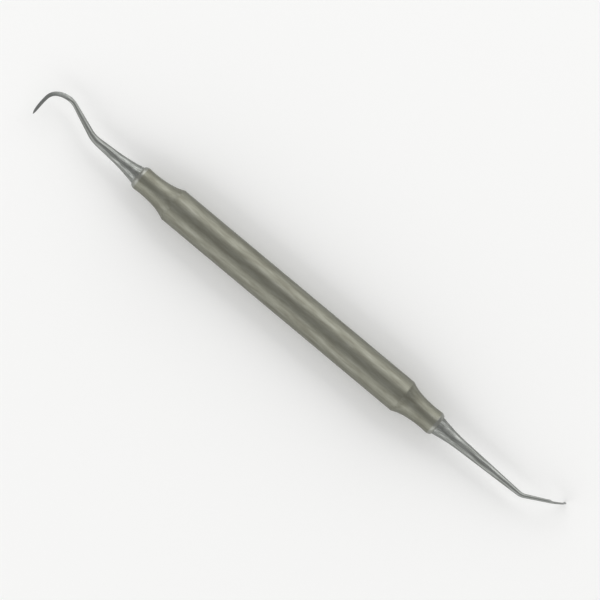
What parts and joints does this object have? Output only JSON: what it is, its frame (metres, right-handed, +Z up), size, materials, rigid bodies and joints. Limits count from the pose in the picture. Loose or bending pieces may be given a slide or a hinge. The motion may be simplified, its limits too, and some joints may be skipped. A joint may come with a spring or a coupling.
{
  "type": "dental sickle scaler",
  "caption": "Double-ended hand scaler: a plain hollow round handle, a flared nose cone at each end, tapered bent shanks and curved sickle blades, one seen in profile and one turned down.",
  "frame": {"origin": "on the handle's axis, midway between its two nose faces", "axes": "+X along the handle towards the right working end, +Z up from the surface it lies on, +Y to the side that both shanks bend to"},
  "size_m": [0.1699, 0.011, 0.0094],
  "materials": {
    "satin_steel": "satin, fine bead-blasted stainless steel",
    "polished_steel": "ground and polished stainless steel"
  },
  "bodies": {
    "root": {"handle_tube": "satin_steel", "left_nose_cone": "satin_steel", "right_nose_cone": "satin_steel", "left_working_end": "polished_steel", "right_working_end": "polished_steel"}
  },
  "joints": []
}
